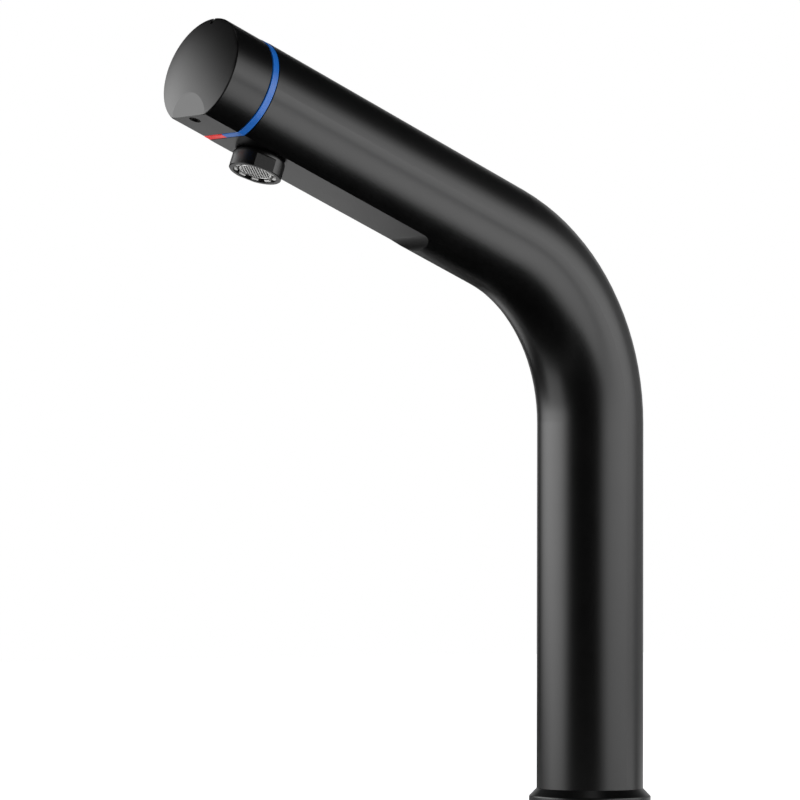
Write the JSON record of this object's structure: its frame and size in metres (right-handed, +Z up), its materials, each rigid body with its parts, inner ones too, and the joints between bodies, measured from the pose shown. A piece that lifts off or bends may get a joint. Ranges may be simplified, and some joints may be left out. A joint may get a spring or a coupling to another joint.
{
  "type": "basin mixer tap",
  "caption": "Deck-mounted time-flow basin mixer: upright tube bent into a raised arm, with a push-and-turn knob, a hot and cold marker ring and a round outlet under its flat side.",
  "frame": {"origin": "centre of the foot, on the deck", "axes": "+Z up, spout leans towards -Y, where the user stands, hot on -X and cold on +X"},
  "size_m": [0.0466, 0.206, 0.3269],
  "materials": {
    "matte_black": "matte black powder coat",
    "marker_blue": "moulded blue",
    "marker_red": "moulded red",
    "insert_grey": "moulded light grey",
    "grille_steel": "woven look",
    "brass": "machined",
    "copper": "drawn tube",
    "stainless": "turned",
    "rubber": "moulded",
    "ceramic": "lapped",
    "cartridge_plastic": "moulded"
  },
  "bodies": {
    "root": {"spout_body": "matte_black", "base_ring": "matte_black", "base_seal": "rubber", "fixing_block": "brass", "fixing_studs": "stainless", "hot_inlet": "brass", "cold_inlet": "brass", "hot_supply_pipe": "copper", "cold_supply_pipe": "copper", "pipe_o_rings": "rubber", "manifold": "brass", "manifold_o_ring": "rubber", "port_seals": "rubber", "cartridge_body": "cartridge_plastic", "cartridge_o_rings": "rubber", "fixed_disc": "ceramic", "cartridge_cap": "cartridge_plastic", "spindle_o_ring": "rubber", "cartridge_nut": "brass", "stop_ring": "cartridge_plastic", "cold_marker": "marker_blue", "hot_marker": "marker_red", "outlet_nozzle": "matte_black", "nozzle_o_ring": "rubber", "flow_straightener": "insert_grey", "outlet_grille": "grille_steel"},
    "turning_parts": {"turning_disc": "ceramic", "disc_driver": "cartridge_plastic", "return_spring": "stainless"},
    "push_parts": {"push_knob": "matte_black", "knob_grub_screw": "stainless", "spindle": "stainless", "valve_piston": "cartridge_plastic", "valve_seal": "rubber", "timing_piston": "cartridge_plastic", "timing_seal": "rubber"},
    "deck_clamp": {"clamp_pad": "rubber", "clamp_plate": "stainless", "stud_washers": "stainless", "fixing_nuts": "brass"}
  },
  "joints": [
    {"name": "knob_turn", "type": "hinge", "parent": "root", "child": "turning_parts", "pos_m": [0, -0.04498, 0.20057], "axis": [0, -0.9385, 0.3453], "range_deg": [-60, 60]},
    {"name": "knob_push", "type": "slide", "parent": "turning_parts", "child": "push_parts", "axis": [0, -0.9385, 0.3453], "range_m": [0, 0.004], "stiffness_N_per_m": 750, "springref_m": 0.0107, "deforming": ["return_spring"]},
    {"name": "clamp_slide", "type": "slide", "parent": "root", "child": "deck_clamp", "axis": [0, 0, 1], "range_m": [-0.026, 0.012]}
  ]
}
